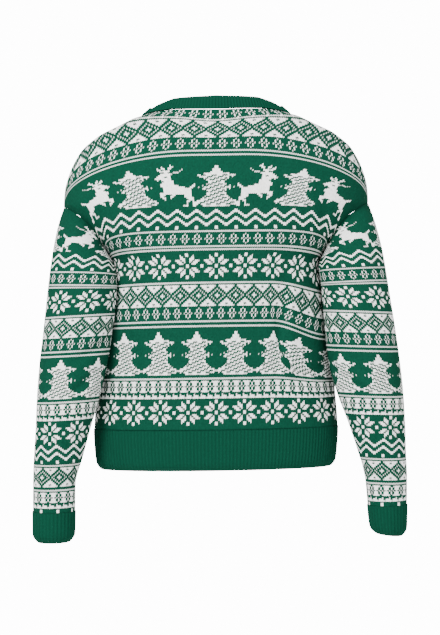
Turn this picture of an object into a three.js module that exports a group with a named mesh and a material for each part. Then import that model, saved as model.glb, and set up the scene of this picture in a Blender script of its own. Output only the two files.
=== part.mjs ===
// A knitted pullover as it is worn, hollow: back, front, two drop-shoulder sleeves and their ribbed edges.
// Millimetres. +Z is up, -Y is the wearer's back, +X is the wearer's right.
// The origin is the middle of the neck opening, level with the ends of the shoulder seams.
import * as THREE from "three";
import { mergeVertices } from "three/addons/utils/BufferGeometryUtils.js";

// Cloth
const WALL = 2.6;
const SEAM_GAP = 0.34;
const NECK_GAP = 1.5;
const RIB_RELIEF = 1.1;
// The wearer's right side stands this much higher for each millimetre to the right.
const LEAN = 0.015;
const SECTION_POWER = 2.2;

// The knitted panel: rows count up from the hem rib, stitches count out from its middle.
const UNDERARM_ROW = 111;
const APEX_ROW = 178;
const NECK_POINT_ROW = 205;
const BACK_NECK_ROW = 211;
const STITCH = 2.8;
const ROW = 2.45;

// The armhole, from the underarm to the top of the arm
const UNDERARM = { x: 170, z: -237 };
const APEX = { x: 247, z: -147, back: 4 };
const ARMHOLE_DEPTH = 54;
const ARMHOLE_SPRING = { inward: 8, upward: 10 };

// Level sections of the body: half width, and how far the back and the front stand from the middle
const SECTIONS = [
  { z: -580, half: 191, back: 88, front: 89 },
  { z: -545, half: 196, back: 92, front: 94 },
  { z: -508, half: 198, back: 95, front: 97 },
  { z: -450, half: 194, back: 101, front: 104 },
  { z: -350, half: 185, back: 110, front: 113 },
  { z: -290, half: 178, back: 116, front: 118 },
  { z: -237, half: 170, back: 119, front: 119 },
  { z: -192, half: 230, back: 122, front: 120 },
  { z: -147, half: 247.7, back: 123, front: 118 },
  { z: -120, half: 246, back: 122, front: 114 },
  { z: -103, half: 242, back: 120, front: 111 },
  { z: -86.5, half: 236, back: 117.5, front: 108 },
  { z: -69.5, half: 227.5, back: 111, front: 103 },
  { z: -55.5, half: 218.5, back: 103, front: 99 },
  { z: -43, half: 205, back: 96, front: 95 },
  { z: -31.5, half: 190, back: 88, front: 91 },
  { z: -22.5, half: 172, back: 82, front: 88 },
  { z: -14, half: 154, back: 77, front: 85 },
  { z: -5, half: 136, back: 72, front: 82 },
  { z: -1, half: 122, back: 70, front: 80 },
  { z: 10, half: 104, back: 64, front: 74 },
];

// Knit rows: height at the middle, how much the row lifts beside the neck, and how late it drops to its end
const BACK_ROWS = [
  { row: 0, z: -507.7, lift: 0, bend: 3 },
  { row: 60, z: -357.5, lift: 0, bend: 3 },
  { row: 111, z: -229.9, lift: 0, bend: 3 },
  { row: 142, z: -156.8, lift: 1, bend: 5 },
  { row: 178, z: -72, lift: 1.5, bend: 6.6 },
  { row: 189, z: -46.8, lift: 5, bend: 6.8 },
  { row: 205, z: -14, lift: 9, bend: 6.8 },
  { row: 211, z: 1.5, lift: 2, bend: 6.8 },
];
const FRONT_ROWS = [
  { row: 0, z: -507.7, lift: 0, bend: 3 },
  { row: 60, z: -359, lift: 0, bend: 3 },
  { row: 111, z: -233, lift: 0, bend: 3 },
  { row: 142, z: -159, lift: 1, bend: 5 },
  { row: 178, z: -78, lift: 3, bend: 6.2 },
  { row: 189, z: -54, lift: 6, bend: 6.2 },
  { row: 205, z: -22, lift: 20, bend: 6.2 },
  { row: 211, z: -8, lift: 20, bend: 6.2 },
];

// Where each row ends: how many stitches out, and how far along the shoulder seam from the arm to the neck
const PANEL_EDGE = [
  { row: 0, half: 84, seam: 0 },
  { row: 111, half: 84, seam: 0 },
  { row: 128, half: 81, seam: 0 },
  { row: 178, half: 80, seam: 0 },
  { row: 183, half: 79, seam: 0.07 },
  { row: 187, half: 77.5, seam: 0.14 },
  { row: 191, half: 73, seam: 0.25 },
  { row: 195, half: 65, seam: 0.42 },
  { row: 200, half: 52, seam: 0.68 },
  { row: 205, half: 38, seam: 1 },
  { row: 211, half: 38, seam: 1.1 },
];
const SHOULDER_SEAM = [
  { seam: 0, z: -147, back: 4 },
  { seam: 0.2, z: -108, back: 18 },
  { seam: 0.4, z: -72, back: 25 },
  { seam: 0.6, z: -43, back: 22 },
  { seam: 0.8, z: -22, back: 15 },
  { seam: 1, z: -1, back: 6 },
  { seam: 1.1, z: 8, back: 3 },
];

// Sections of a sleeve from the armhole to the cuff's edge: outer and inner points, middle, half the depth,
// and how far it still has the armhole's shape
const LEFT_SLEEVE = [
  { along: 0, outerX: 247, outerZ: -147, innerX: 170, innerZ: -237, middleY: 0, depth: 54, shaped: 1 },
  { along: 40, outerX: 256, outerZ: -187, innerX: 174, innerZ: -250, middleY: -30, depth: 55, shaped: 0.6 },
  { along: 85, outerX: 263, outerZ: -233, innerX: 164, innerZ: -264, middleY: -48, depth: 56, shaped: 0.2 },
  { along: 125, outerX: 268, outerZ: -276, innerX: 159, innerZ: -279, middleY: -55, depth: 56, shaped: 0 },
  { along: 200, outerX: 276, outerZ: -352, innerX: 164, innerZ: -347, middleY: -58, depth: 56, shaped: 0 },
  { along: 250, outerX: 282, outerZ: -403, innerX: 173, innerZ: -399, middleY: -58, depth: 54, shaped: 0 },
  { along: 300, outerX: 285.5, outerZ: -453, innerX: 184, innerZ: -449, middleY: -61, depth: 50.5, shaped: 0 },
  { along: 350, outerX: 287.5, outerZ: -503, innerX: 199, innerZ: -500, middleY: -61, depth: 45, shaped: 0 },
  { along: 400, outerX: 291, outerZ: -553, innerX: 213, innerZ: -551, middleY: -57, depth: 39, shaped: 0 },
  { along: 440, outerX: 292.5, outerZ: -594, innerX: 224.5, innerZ: -593, middleY: -53, depth: 34.5, shaped: 0 },
  { along: 482, outerX: 293, outerZ: -636, innerX: 225.5, innerZ: -636, middleY: -49, depth: 34, shaped: 0 },
  { along: 515, outerX: 293, outerZ: -669, innerX: 226.5, innerZ: -669, middleY: -47, depth: 33.5, shaped: 0 },
  { along: 533, outerX: 290, outerZ: -686, innerX: 230, innerZ: -686, middleY: -46, depth: 31, shaped: 0 },
];
const RIGHT_SLEEVE = [
  { along: 0, outerX: 247, outerZ: -147, innerX: 170, innerZ: -237, middleY: 0, depth: 54, shaped: 1 },
  { along: 40, outerX: 258, outerZ: -187, innerX: 174, innerZ: -250, middleY: -30, depth: 54, shaped: 0.6 },
  { along: 85, outerX: 268, outerZ: -233, innerX: 168, innerZ: -264, middleY: -46, depth: 55, shaped: 0.2 },
  { along: 125, outerX: 275, outerZ: -276, innerX: 168, innerZ: -279, middleY: -50, depth: 55, shaped: 0 },
  { along: 200, outerX: 287, outerZ: -352, innerX: 174, innerZ: -347, middleY: -52, depth: 56, shaped: 0 },
  { along: 250, outerX: 294, outerZ: -403, innerX: 179, innerZ: -399, middleY: -54, depth: 55, shaped: 0 },
  { along: 300, outerX: 299, outerZ: -453, innerX: 192, innerZ: -449, middleY: -59, depth: 52, shaped: 0 },
  { along: 350, outerX: 302, outerZ: -503, innerX: 211, innerZ: -500, middleY: -59, depth: 45, shaped: 0 },
  { along: 400, outerX: 304, outerZ: -553, innerX: 228, innerZ: -551, middleY: -55, depth: 38.5, shaped: 0 },
  { along: 440, outerX: 306, outerZ: -594, innerX: 239, innerZ: -593, middleY: -51, depth: 34.5, shaped: 0 },
  { along: 479, outerX: 306, outerZ: -633, innerX: 243, innerZ: -633, middleY: -48, depth: 33.5, shaped: 0 },
  { along: 512, outerX: 305.5, outerZ: -667, innerX: 247, innerZ: -666, middleY: -46, depth: 32.5, shaped: 0 },
  { along: 530, outerX: 303, outerZ: -684, innerX: 253, innerZ: -680, middleY: -45, depth: 30, shaped: 0 },
];
const CUFF_TOP = { left: 482, right: 479 };
const CUFF_EDGE = { left: 533, right: 530 };
const BODY_CLEARANCE = { seam: 0.6, most: 3, growth: 0.06 };

// Ribbed edges
const HEM_HEIGHT = 65;
const HEM_RIBS = 84;
const CUFF_RIBS = 34;
const NECKBAND_RIBS = 148;
// The neckline: how far out the panel starts or stops at a row; the front one is a half oval
const NECK_HALF_WIDTH = 121;
const BACK_NECK = [
  { row: 205, x: NECK_HALF_WIDTH },
  { row: 207, x: 112 },
  { row: 209, x: 98 },
  { row: 211, x: 75 },
];
// The neckband from the back's middle to the front's: its width, and how many degrees it leans inward
const NECKBAND = [
  { turn: 0, reach: 23, lean: 16 },
  { turn: 0.26, reach: 20, lean: 24 },
  { turn: 0.34, reach: 18, lean: 36 },
  { turn: 0.46, reach: 16, lean: 56 },
  { turn: 0.6, reach: 19, lean: 46 },
  { turn: 0.75, reach: 22, lean: 32 },
  { turn: 1, reach: 24, lean: 18 },
];
const NECK_MIDDLE_Y = 10;

// Soft folds of the body: middle, size and depth, in millimetres; lean turns a fold from upright, in degrees
const BODY_FOLDS = [
  { side: "back", x: 102, z: -345, long: 78, wide: 9, deep: 6.5, lean: 4 },
  { side: "back", x: 122, z: -352, long: 70, wide: 10, deep: -3.5, lean: 4 },
  { side: "back", x: 158, z: -418, long: 34, wide: 8, deep: 6, lean: 66 },
  { side: "back", x: 176, z: -470, long: 40, wide: 10, deep: 5, lean: 38 },
  { side: "back", x: -162, z: -455, long: 44, wide: 13, deep: 6, lean: -52 },
  { side: "back", x: -150, z: -250, long: 60, wide: 12, deep: 5, lean: -30 },
  { side: "back", x: 165, z: -215, long: 75, wide: 8, deep: 6, lean: 8 },
  { side: "back", x: -30, z: -492, long: 60, wide: 12, deep: 2.5, lean: 78 },
  { side: "front", x: -110, z: -350, long: 80, wide: 12, deep: 5, lean: -6 },
  { side: "front", x: 132, z: -405, long: 50, wide: 12, deep: 5, lean: 50 },
  { side: "front", x: 150, z: -255, long: 62, wide: 12, deep: 5, lean: 32 },
  { side: "front", x: -152, z: -245, long: 62, wide: 12, deep: 5, lean: -30 },
];
// Soft folds of the sleeves: how far along, how far round from the underarm, in turns, and their sizes
const SLEEVE_FOLDS = [
  { side: "left", along: 225, round: 0.13, long: 42, wide: 8, deep: 5, lean: 62 },
  { side: "left", along: 290, round: 0.2, long: 40, wide: 9, deep: 4, lean: 50 },
  { side: "left", along: 420, round: 0.3, long: 34, wide: 8, deep: 3.5, lean: -55 },
  { side: "left", along: 250, round: 0.78, long: 46, wide: 10, deep: 4.5, lean: 58 },
  { side: "left", along: 135, round: 0.8, long: 46, wide: 11, deep: 4, lean: -40 },
  { side: "right", along: 285, round: 0.16, long: 44, wide: 8, deep: 5.5, lean: 58 },
  { side: "right", along: 330, round: 0.24, long: 38, wide: 9, deep: 4, lean: 48 },
  { side: "right", along: 440, round: 0.16, long: 36, wide: 8, deep: 4, lean: 55 },
  { side: "right", along: 235, round: 0.8, long: 48, wide: 10, deep: 4.5, lean: -56 },
  { side: "right", along: 140, round: 0.82, long: 44, wide: 11, deep: 4, lean: 42 },
];

const GREEN = 0x12644b;

// A smooth curve through one column of a table
function read(table, key, column, at) {
  const last = table.length - 1;
  if (at <= table[0][key]) return table[0][column];
  if (at >= table[last][key]) return table[last][column];
  let i = 0;
  while (table[i + 1][key] < at) i += 1;
  const slope = (a, b) => (table[b][column] - table[a][column]) / (table[b][key] - table[a][key]);
  const width = table[i + 1][key] - table[i][key];
  const chord = slope(i, i + 1);
  const before = i > 0 ? slope(i - 1, i) : chord;
  const after = i + 1 < last ? slope(i + 1, i + 2) : chord;
  const ease = (p, q) => (p * q <= 0 ? 0 : (2 * p * q) / (p + q));
  const start = ease(before, chord);
  const end = ease(chord, after);
  const t = (at - table[i][key]) / width;
  const rise = table[i + 1][column] - table[i][column];
  const bend = t * (1 - t) * ((start * width - rise) * (1 - t) + (rise - end * width) * t);
  return table[i][column] + rise * t + bend;
}

const mix = (a, b, t) => a + (b - a) * t;

// The armhole's edge: at 0 the underarm, half a turn on the top of the arm, going by the back
function armhole(angle) {
  const q = (1 - Math.cos(angle)) / 2;
  const spring = Math.sin(angle) ** 2;
  return {
    x: mix(UNDERARM.x, APEX.x, q) - ARMHOLE_SPRING.inward * spring,
    y: -ARMHOLE_DEPTH * Math.sin(angle) - APEX.back * q,
    z: mix(UNDERARM.z, APEX.z, q) + ARMHOLE_SPRING.upward * spring,
  };
}

// The angle at which the armhole reaches a height, going by the back
function armholeAngle(z) {
  const four = 4 * ARMHOLE_SPRING.upward;
  const sum = APEX.z - UNDERARM.z + four;
  const q = (sum - Math.sqrt(sum * sum - 4 * four * (z - UNDERARM.z))) / (2 * four);
  return Math.acos(1 - 2 * Math.min(1, Math.max(0, q)));
}

// Half width and half depth of the body's level section at a height, on one side of it
function section(side, z) {
  const deep = { back: read(SECTIONS, "z", "back", z), front: read(SECTIONS, "z", "front", z) };
  let half = read(SECTIONS, "z", "half", z);
  if (z > UNDERARM.z && z < APEX.z) {
    const angle = armholeAngle(z);
    const edge = armhole(side === "back" ? angle : -angle);
    const share = Math.abs(edge.y) / (edge.y < 0 ? deep.back : deep.front);
    half = edge.x / (1 - share ** SECTION_POWER) ** (1 / SECTION_POWER);
  }
  return { half, back: deep.back, front: deep.front };
}

// A point of the level section, at an angle from straight back
function onSection(side, z, angle) {
  const s = section(side, z);
  const across = Math.sin(angle) / s.half;
  const along = Math.cos(angle) / (Math.cos(angle) > 0 ? s.back : s.front);
  const size = (Math.abs(across) ** SECTION_POWER + Math.abs(along) ** SECTION_POWER) ** (-1 / SECTION_POWER);
  return { x: size * Math.sin(angle), y: -size * Math.cos(angle), z };
}

// The direction square to the body's surface, away from it, at a point of it
function bodyNormal(p) {
  const level = (z) => {
    const half = read(SECTIONS, "z", "half", z);
    const deep = read(SECTIONS, "z", p.y < 0 ? "back" : "front", z);
    return (Math.abs(p.x) / half) ** SECTION_POWER + (Math.abs(p.y) / deep) ** SECTION_POWER;
  };
  const z = p.z - LEAN * p.x;
  const half = read(SECTIONS, "z", "half", z);
  const deep = read(SECTIONS, "z", p.y < 0 ? "back" : "front", z);
  const steep = (size, reach) => (SECTION_POWER / reach) * (Math.abs(size) / reach) ** (SECTION_POWER - 1);
  const out = new THREE.Vector3(
    Math.sign(p.x) * steep(p.x, half),
    Math.sign(p.y) * steep(p.y, deep),
    level(z + 1) - level(z),
  );
  return out.normalize();
}

// The end of a knit row, on the side seam, the armhole or the shoulder seam
function rowEnd(side, row) {
  if (row <= UNDERARM_ROW) {
    const z = mix(BACK_ROWS[0].z, UNDERARM.z, row / UNDERARM_ROW);
    return { x: section(side, z).half, y: 0, z };
  }
  if (row < APEX_ROW) {
    const angle = (Math.PI * (row - UNDERARM_ROW)) / (APEX_ROW - UNDERARM_ROW);
    return armhole(side === "back" ? angle : -angle);
  }
  const seam = read(PANEL_EDGE, "row", "seam", row);
  const z = read(SHOULDER_SEAM, "seam", "z", seam);
  const back = read(SHOULDER_SEAM, "seam", "back", seam);
  const s = section("back", z);
  return { x: s.half * (1 - (back / s.back) ** SECTION_POWER) ** (1 / SECTION_POWER), y: -back, z };
}

const ROW_STEPS = 36;
// How soon a row's lift is reached on its way out from the middle
const LIFT_SPREAD = 2.2;
const rowCache = new Map();

// Points of a knit row from the panel's middle to its end, with their distance along the row
function rowLine(side, row) {
  const name = side + row.toFixed(4);
  if (rowCache.has(name)) return rowCache.get(name);
  const rows = side === "back" ? BACK_ROWS : FRONT_ROWS;
  const end = rowEnd(side, row);
  const turn = Math.atan2(end.x, -end.y);
  const from = side === "back" ? 0 : Math.PI;
  const z = read(rows, "row", "z", row);
  const lift = read(rows, "row", "lift", row);
  const bend = read(rows, "row", "bend", row);
  const line = [];
  for (let i = 0; i <= ROW_STEPS; i += 1) {
    const share = i / ROW_STEPS;
    const high = z + lift * (1 - Math.exp(-((LIFT_SPREAD * share) ** 2)));
    const p = onSection(side, high - (z + lift - end.z) * share ** bend, mix(from, turn, share));
    const before = line[i - 1];
    p.far = before ? before.far + Math.hypot(p.x - before.x, p.y - before.y, p.z - before.z) : 0;
    line.push(p);
  }
  line[ROW_STEPS] = { ...end, far: line[ROW_STEPS].far };
  rowCache.set(name, line);
  return line;
}

// How deep a soft fold is at a distance across and along it
function foldDepth(fold, across, up) {
  const lean = (fold.lean * Math.PI) / 180;
  const side = across * Math.cos(lean) - up * Math.sin(lean);
  const length = across * Math.sin(lean) + up * Math.cos(lean);
  return fold.deep * Math.exp(-((side / fold.wide) ** 2) - (length / fold.long) ** 2);
}

// Folds fade out over this many stitches at a panel's edge and this many rows at its foot
const FOLD_FADE = { stitches: 6, rows: 8 };
const BODY_DEPTH = 120;

const halfStitches = (row) => read(PANEL_EDGE, "row", "half", row);

// The point of a body panel at a stitch and a row
function bodyPoint(side, stitch, row) {
  const line = rowLine(side, row);
  const far = Math.min(1, Math.abs(stitch) / halfStitches(row)) * line[ROW_STEPS].far;
  let i = 0;
  while (i < ROW_STEPS - 1 && line[i + 1].far < far) i += 1;
  const t = (far - line[i].far) / (line[i + 1].far - line[i].far);
  const x = Math.sign(stitch) * mix(line[i].x, line[i + 1].x, t);
  const y = mix(line[i].y, line[i + 1].y, t);
  const z = mix(line[i].z, line[i + 1].z, t);
  const folds = BODY_FOLDS.filter((fold) => fold.side === side);
  const deep = folds.reduce((sum, fold) => sum + foldDepth(fold, x - fold.x, z - fold.z), 0);
  const edge = halfStitches(row) - Math.abs(stitch);
  const fade = Math.min(1, edge / FOLD_FADE.stitches) * Math.min(1, row / FOLD_FADE.rows);
  return new THREE.Vector3(x, y * (1 - (deep * fade) / BODY_DEPTH), z + LEAN * x);
}

// The point of a sleeve at a distance along it and an angle round it, from the underarm by the back
function sleevePoint(side, along, angle) {
  const table = side === "left" ? LEFT_SLEEVE : RIGHT_SLEEVE;
  const at = (column) => read(table, "along", column, along);
  const q = (1 - Math.cos(angle)) / 2;
  const spring = Math.sin(angle) ** 2 * at("shaped");
  const round = angle / (2 * Math.PI);
  const folds = SLEEVE_FOLDS.filter((fold) => fold.side === side);
  const girth = 2 * Math.PI * at("depth");
  const turnTo = (fold) => round - fold.round - Math.round(round - fold.round);
  const depthOf = (fold) => foldDepth(fold, turnTo(fold) * girth, along - fold.along);
  const deep = folds.reduce((sum, fold) => sum + depthOf(fold), 0);
  const keep = 1 - deep / at("depth");
  const middleX = (at("outerX") + at("innerX")) / 2;
  const middleZ = (at("outerZ") + at("innerZ")) / 2;
  let x = mix(at("innerX"), at("outerX"), q) - ARMHOLE_SPRING.inward * spring;
  let y = at("middleY") - at("depth") * Math.sin(angle) - APEX.back * q * at("shaped");
  const z = mix(at("innerZ"), at("outerZ"), q) + ARMHOLE_SPRING.upward * spring;
  x = mix(middleX, x, keep);
  y = mix(at("middleY"), y, keep);
  x = clearOfBody(x, y, mix(middleZ, z, keep), along);
  return new THREE.Vector3(side === "left" ? -x : x, y, z + LEAN * (side === "left" ? -x : x));
}

// A sleeve that lies against the body is pressed flat there
function clearOfBody(x, y, z, along) {
  if (z > UNDERARM.z) return x;
  const clear = Math.min(BODY_CLEARANCE.most, BODY_CLEARANCE.seam + BODY_CLEARANCE.growth * along);
  const half = read(SECTIONS, "z", "half", z) + clear;
  const deep = read(SECTIONS, "z", y < 0 ? "back" : "front", z) + clear;
  const share = (Math.abs(y) / deep) ** SECTION_POWER;
  if (share >= 1) return x;
  return Math.max(x, half * (1 - share) ** (1 / SECTION_POWER));
}

// Closed cloth from a sheet of triangles: outer points, inner ones a wall's thickness behind, and rims
function cloth(name, triangles, edgeNormal) {
  const sheet = new THREE.BufferGeometry();
  const flat = triangles.flatMap((triangle) => triangle.flatMap((p) => [p.x, p.y, p.z]));
  sheet.setAttribute("position", new THREE.Float32BufferAttribute(flat, 3));
  const merged = mergeVertices(sheet, 1e-3);
  const place = merged.getAttribute("position");
  const index = Array.from(merged.index.array);
  const faces = [];
  for (let i = 0; i < index.length; i += 3) {
    const [a, b, c] = index.slice(i, i + 3);
    if (a !== b && b !== c && c !== a) faces.push([a, b, c]);
  }
  merged.setIndex(faces.flat());
  merged.computeVertexNormals();
  const normal = merged.getAttribute("normal");
  const edges = new Set(faces.flatMap(([a, b, c]) => [`${a} ${b}`, `${b} ${c}`, `${c} ${a}`]));
  const pairs = [...edges].map((edge) => edge.split(" ").map(Number));
  const rims = pairs.filter(([a, b]) => !edges.has(`${b} ${a}`));
  const onRim = new Set(rims.flat());
  const points = [];
  const lower = [];
  for (let i = 0; i < place.count; i += 1) {
    const p = new THREE.Vector3().fromBufferAttribute(place, i);
    const n = new THREE.Vector3().fromBufferAttribute(normal, i);
    points.push(p);
    lower.push(p.clone().addScaledVector((onRim.has(i) && edgeNormal(p)) || n, -WALL));
  }
  const solid = faces.map(([a, b, c]) => [points[a], points[b], points[c]]);
  faces.forEach(([a, b, c]) => solid.push([lower[c], lower[b], lower[a]]));
  rims.forEach(([a, b]) => solid.push([points[b], points[a], lower[a]], [points[b], lower[a], lower[b]]));
  return meshOf(name, solid);
}

function meshOf(name, triangles) {
  const geometry = new THREE.BufferGeometry();
  const flat = triangles.flatMap((triangle) => triangle.flatMap((p) => [p.x, p.y, p.z]));
  geometry.setAttribute("position", new THREE.Float32BufferAttribute(flat, 3));
  geometry.computeVertexNormals();
  const material = new THREE.MeshStandardMaterial({ color: GREEN, roughness: 0.95, metalness: 0 });
  const mesh = new THREE.Mesh(geometry, material);
  mesh.name = name;
  return mesh;
}

// Two triangles for each square of a grid of points; turned says which way its outside lies
function gridTriangles(grid, turned) {
  const triangles = [];
  for (let i = 0; i + 1 < grid.length; i += 1) {
    for (let j = 0; j + 1 < grid[i].length; j += 1) {
      const [a, b, c, d] = [grid[i][j], grid[i][j + 1], grid[i + 1][j + 1], grid[i + 1][j]];
      triangles.push(turned ? [a, c, b] : [a, b, c], turned ? [a, d, c] : [a, c, d]);
    }
  }
  return triangles;
}

const SIDE_BANDS = 6;
const ARMHOLE_BANDS = 10;
const NECK_START_ROWS = [180];
const SHOULDER_ROWS = [183, 187, 191, 195, 200, NECK_POINT_ROW];
const BACK_NECK_ROWS = [207, 209, BACK_NECK_ROW];
const HALF_COLUMNS = 12;
const EDGE_STITCHES = SEAM_GAP / 2 / STITCH;
const EDGE_ROWS = SEAM_GAP / 2 / ROW;

// The rows at which a panel's solid has points; the armhole's are shared with the sleeve
function panelRows(side) {
  const rows = [];
  for (let i = 0; i < SIDE_BANDS; i += 1) rows.push((UNDERARM_ROW * i) / SIDE_BANDS);
  for (let i = 0; i <= ARMHOLE_BANDS; i += 1) {
    rows.push(mix(UNDERARM_ROW, APEX_ROW, i / ARMHOLE_BANDS));
  }
  if (side === "front") rows.push(...NECK_START_ROWS);
  rows.push(...SHOULDER_ROWS);
  if (side === "back") rows.push(...BACK_NECK_ROWS);
  return rows;
}

// The stitch at which a row reaches a distance from the middle plane
function stitchAt(side, row, x) {
  const line = rowLine(side, row);
  const next = Math.max(1, line.findIndex((p) => p.x > x));
  const t = (x - line[next - 1].x) / (line[next].x - line[next - 1].x);
  return (halfStitches(row) * mix(line[next - 1].far, line[next].far, t)) / line[ROW_STEPS].far;
}

// The stitch of a row nearest the middle: 0, or on the front neckline
function innerStitch(side, row) {
  if (side === "back" || row <= APEX_ROW) return 0;
  const drop = (NECK_POINT_ROW - row) / (NECK_POINT_ROW - APEX_ROW);
  return stitchAt(side, row, NECK_HALF_WIDTH * Math.sqrt(1 - drop * drop)) + EDGE_STITCHES;
}

// The last stitch of a row, short of its seam or on the back neckline
function outerStitch(row) {
  if (row > NECK_POINT_ROW) return stitchAt("back", row, read(BACK_NECK, "row", "x", row));
  return halfStitches(row) - (row > APEX_ROW ? 2 : 1) * EDGE_STITCHES;
}

// One half of a panel as a grid from its middle, or its neckline, out to its edge
function halfPanel(side, hand) {
  const rows = panelRows(side);
  return rows.map((row, i) => {
    const inner = Math.min(innerStitch(side, row), outerStitch(row));
    const outer = outerStitch(row);
    const low = i === 0 ? EDGE_ROWS : 0;
    const line = [];
    for (let j = 0; j <= HALF_COLUMNS; j += 1) {
      line.push(bodyPoint(side, hand * mix(inner, outer, j / HALF_COLUMNS), row + low));
    }
    return line;
  });
}

// At the side and shoulder seams both panels share one direction for their rims.
function seamNormal(p) {
  const z = p.z - LEAN * p.x;
  return z < UNDERARM.z + WALL || z > APEX.z - WALL ? bodyNormal(p) : null;
}

function panel(name, side) {
  const right = gridTriangles(halfPanel(side, 1), side === "front");
  const left = gridTriangles(halfPanel(side, -1), side === "back");
  return cloth(name, [...right, ...left], seamNormal);
}

const SLEEVE_STATIONS = [SEAM_GAP, 22, 45, 70, 95, 125, 160, 195, 225, 255, 285, 315, 350, 385, 420, 450];

function sleeveRing(side, along) {
  const ring = [];
  for (let i = 0; i <= 2 * ARMHOLE_BANDS; i += 1) {
    ring.push(sleevePoint(side, along, (Math.PI * i) / ARMHOLE_BANDS));
  }
  ring[2 * ARMHOLE_BANDS] = ring[0];
  return ring;
}

function sleeve(name, side) {
  const rings = [...SLEEVE_STATIONS, CUFF_TOP[side] - SEAM_GAP / 2].map((along) => sleeveRing(side, along));
  return cloth(name, gridTriangles(rings, side === "right"), () => null);
}

// A point a share of the way along a chain of points
function alongChain(chain, share) {
  const lengths = [0];
  for (let i = 1; i < chain.length; i += 1) {
    lengths.push(lengths[i - 1] + chain[i].distanceTo(chain[i - 1]));
  }
  const far = share * lengths[chain.length - 1];
  let i = 1;
  while (i < chain.length - 1 && lengths[i] < far) i += 1;
  const t = (far - lengths[i - 1]) / (lengths[i] - lengths[i - 1]);
  return chain[i - 1].clone().lerp(chain[i], Math.min(1, Math.max(0, t)));
}

// Triangles between two chains with different numbers of points
function bridge(a, b) {
  const triangles = [];
  let i = 0;
  let j = 0;
  while (i < a.length - 1 || j < b.length - 1) {
    const nextA = (i + 1) / (a.length - 1);
    const nextB = (j + 1) / (b.length - 1);
    if (i < a.length - 1 && (nextA <= nextB || j === b.length - 1)) {
      triangles.push([a[i], b[j], a[i + 1]]);
      i += 1;
    } else {
      triangles.push([a[i], b[j], b[j + 1]]);
      j += 1;
    }
  }
  return triangles;
}

// Ribbed cloth: chains of base points from the seam to the free edge, outer points raised on every second
// stitch, and a plain inside with one point for every innerStep of them
function ribbed(name, chains, ribs, innerStep, closed, forwards, baseNormal) {
  const bases = chains.map((chain) => {
    const points = [];
    for (let i = 0; i <= 2 * ribs; i += 1) points.push(alongChain(chain, i / (2 * ribs)));
    if (closed) points[2 * ribs] = points[0];
    return points;
  });
  const sparse = Math.round((2 * ribs) / innerStep);
  const normals = bases.map((points, k) => points.map((p, i) => ribNormal(bases, k, i, closed, forwards)));
  if (baseNormal) normals[0] = bases[0].map(baseNormal);
  const outer = bases.map((points, k) =>
    points.map((p, i) => p.clone().addScaledVector(normals[k][i], i % 2 === 1 ? RIB_RELIEF : 0)),
  );
  const inner = bases.map((points, k) => {
    const line = [];
    for (let i = 0; i <= sparse; i += 1) {
      const at = Math.round((i / sparse) * 2 * ribs);
      line.push(points[at].clone().addScaledVector(normals[k][at], -WALL));
    }
    if (closed) line[sparse] = line[0];
    return line;
  });
  const last = bases.length - 1;
  const triangles = [...gridTriangles(outer, false), ...gridTriangles(inner, true)];
  triangles.push(...bridge(outer[0], inner[0]), ...bridge(outer[last], inner[last]).map(turnedOver));
  if (!closed) {
    for (let k = 0; k < last; k += 1) {
      const [a, b, c, d] = [outer[k][0], outer[k + 1][0], inner[k + 1][0], inner[k][0]];
      triangles.push([a, b, c], [a, c, d]);
      const end = 2 * ribs;
      const [e, f, g, h] = [outer[k][end], outer[k + 1][end], inner[k + 1][sparse], inner[k][sparse]];
      triangles.push([e, g, f], [e, h, g]);
    }
  }
  return meshOf(name, forwards ? triangles : triangles.map(turnedOver));
}

const turnedOver = ([a, b, c]) => [a, c, b];

// The direction in which a rib rises; forwards when the chains' points and their order turn that way
function ribNormal(bases, k, i, closed, forwards) {
  const points = bases[k];
  const end = points.length - 1;
  const next = i < end ? points[i + 1] : closed ? points[1] : points[i];
  const before = i > 0 ? points[i - 1] : closed ? points[end - 1] : points[i];
  const along = next.clone().sub(before);
  const a = bases[Math.max(0, k - 1)][i];
  const b = bases[Math.min(bases.length - 1, k + 1)][i];
  const n = along.cross(b.clone().sub(a));
  if (!closed && (i === 0 || i === end)) n.y = 0;
  n.normalize();
  return forwards ? n : n.negate();
}

// The edge of a panel's first row, from the wearer's left side seam to the right one
function hemEdge(side) {
  const left = halfPanel(side, -1)[0].slice(1).reverse();
  return [...left, ...halfPanel(side, 1)[0]];
}

const HEM_DROPS = [0, 0.6, 1];

function hemRib(name, side) {
  const top = hemEdge(side);
  const chains = HEM_DROPS.map((drop) =>
    top.map((p) => {
      const z = BACK_ROWS[0].z - SEAM_GAP - drop * HEM_HEIGHT;
      const half = read(SECTIONS, "z", "half", z) / read(SECTIONS, "z", "half", BACK_ROWS[0].z);
      const deep = read(SECTIONS, "z", side, z) / read(SECTIONS, "z", side, BACK_ROWS[0].z);
      return new THREE.Vector3(p.x * half, p.y * deep, z + LEAN * p.x);
    }),
  );
  return ribbed(name, chains, HEM_RIBS, 8, false, side === "front");
}

function cuff(name, side) {
  const top = CUFF_TOP[side] + SEAM_GAP / 2;
  const stations = [top, mix(top, CUFF_EDGE[side], 0.5), mix(top, CUFF_EDGE[side], 0.85), CUFF_EDGE[side]];
  const chains = stations.map((along) => sleeveRing(side, along));
  return ribbed(name, chains, CUFF_RIBS, 8, true, side === "left");
}

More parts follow.
